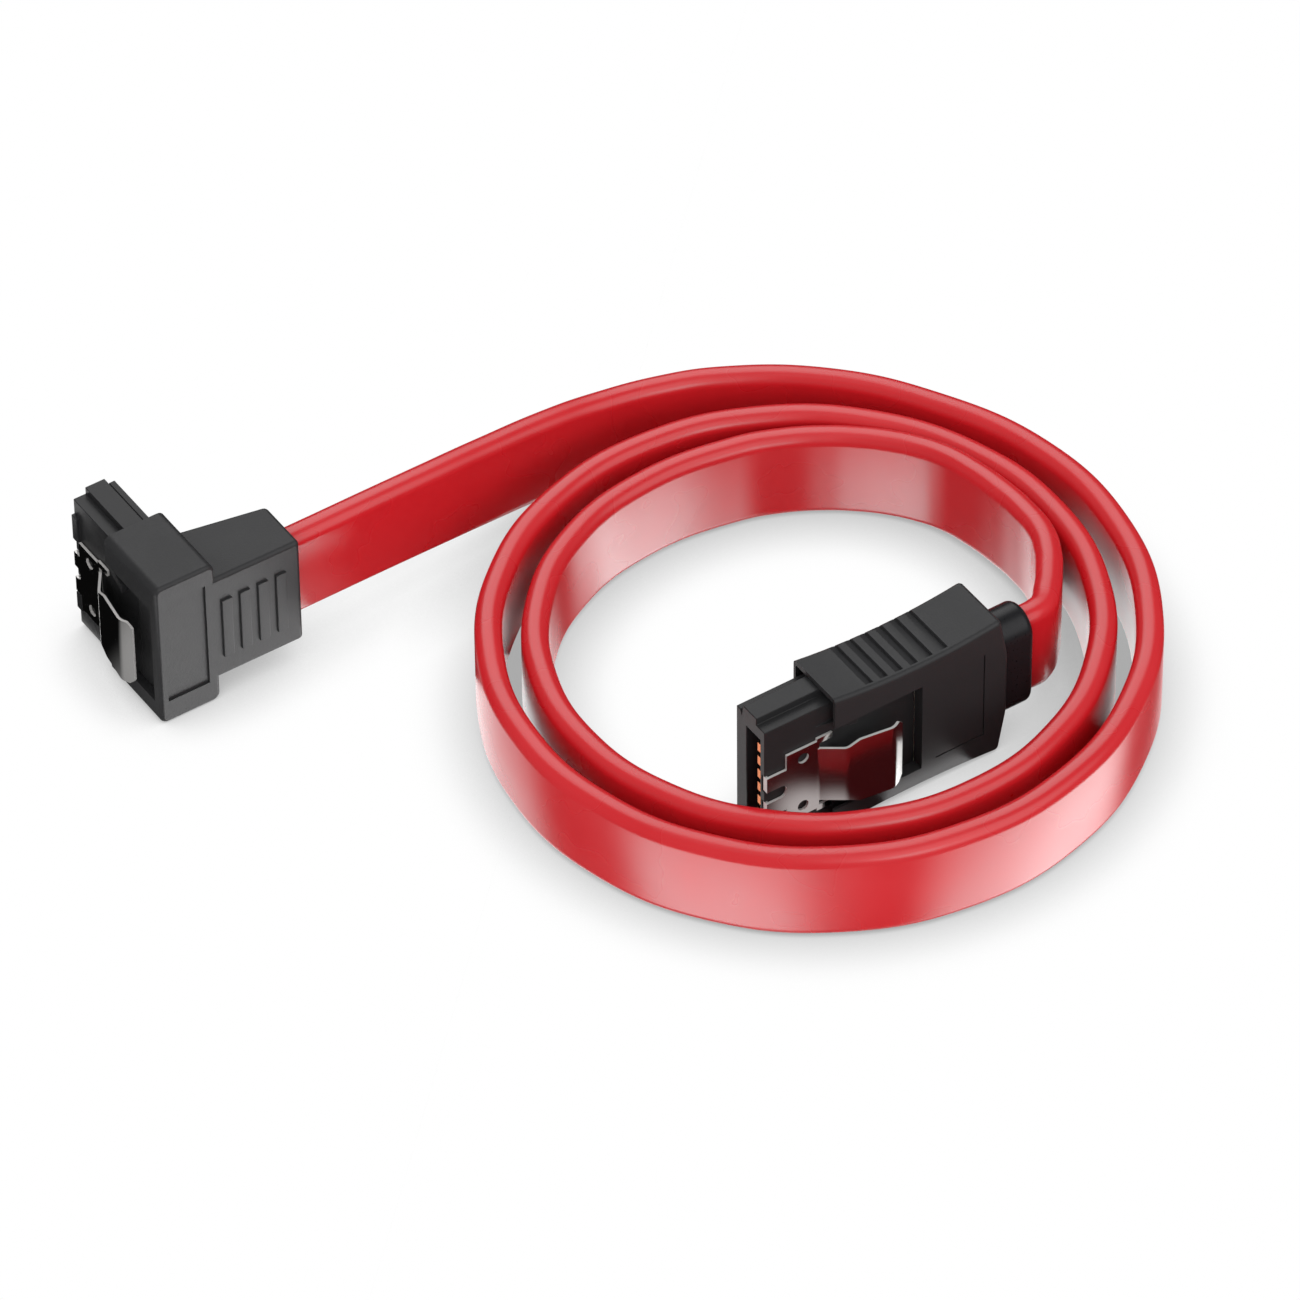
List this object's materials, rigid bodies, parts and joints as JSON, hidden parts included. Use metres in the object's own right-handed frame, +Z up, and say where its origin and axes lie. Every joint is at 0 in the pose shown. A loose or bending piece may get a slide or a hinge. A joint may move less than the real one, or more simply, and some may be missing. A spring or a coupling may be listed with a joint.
{
  "type": "flat serial data cable",
  "caption": "Flat data cable lying on edge in a loose coil, with a straight latching plug at one end and a right-angled latching plug at the other.",
  "frame": {"origin": "centre of the bounding box of the two plugs, on the surface that the plugs and the cable stand on", "axes": "+Z up; the straight plug mates towards -X and the right-angled plug mates towards +Y"},
  "size_m": [0.0661, 0.0595, 0.0131],
  "materials": {
    "hood_plastic": "satin black moulding",
    "nose_plastic": "satin black moulding",
    "relief_plastic": "smooth black moulding",
    "spring_steel": "bright stamped stainless sheet",
    "contact_copper": "bright copper alloy",
    "core_plastic": "natural moulding",
    "wire_sleeve": "white wire insulation",
    "wire_tinned": "tinned bare wire",
    "cable_jacket": "glossy red jacket"
  },
  "bodies": {
    "root": {"straight_hood": "hood_plastic", "straight_insulator": "nose_plastic", "straight_latch": "spring_steel", "straight_core": "core_plastic", "straight_contact_1": "contact_copper", "straight_wire_1": "wire_tinned", "straight_contact_2": "contact_copper", "straight_wire_2": "wire_sleeve", "straight_contact_3": "contact_copper", "straight_wire_3": "wire_sleeve", "straight_contact_4": "contact_copper", "straight_wire_4": "wire_tinned", "straight_contact_5": "contact_copper", "straight_wire_5": "wire_sleeve", "straight_contact_6": "contact_copper", "straight_wire_6": "wire_sleeve", "straight_contact_7": "contact_copper", "straight_wire_7": "wire_tinned", "straight_strain_relief": "relief_plastic", "angled_hood": "hood_plastic", "angled_insulator": "nose_plastic", "angled_latch": "spring_steel", "angled_core": "core_plastic", "angled_contact_1": "contact_copper", "angled_wire_1": "wire_tinned", "angled_contact_2": "contact_copper", "angled_wire_2": "wire_sleeve", "angled_contact_3": "contact_copper", "angled_wire_3": "wire_sleeve", "angled_contact_4": "contact_copper", "angled_wire_4": "wire_tinned", "angled_contact_5": "contact_copper", "angled_wire_5": "wire_sleeve", "angled_contact_6": "contact_copper", "angled_wire_6": "wire_sleeve", "angled_contact_7": "contact_copper", "angled_wire_7": "wire_tinned", "flat_cable": "cable_jacket"}
  },
  "joints": []
}
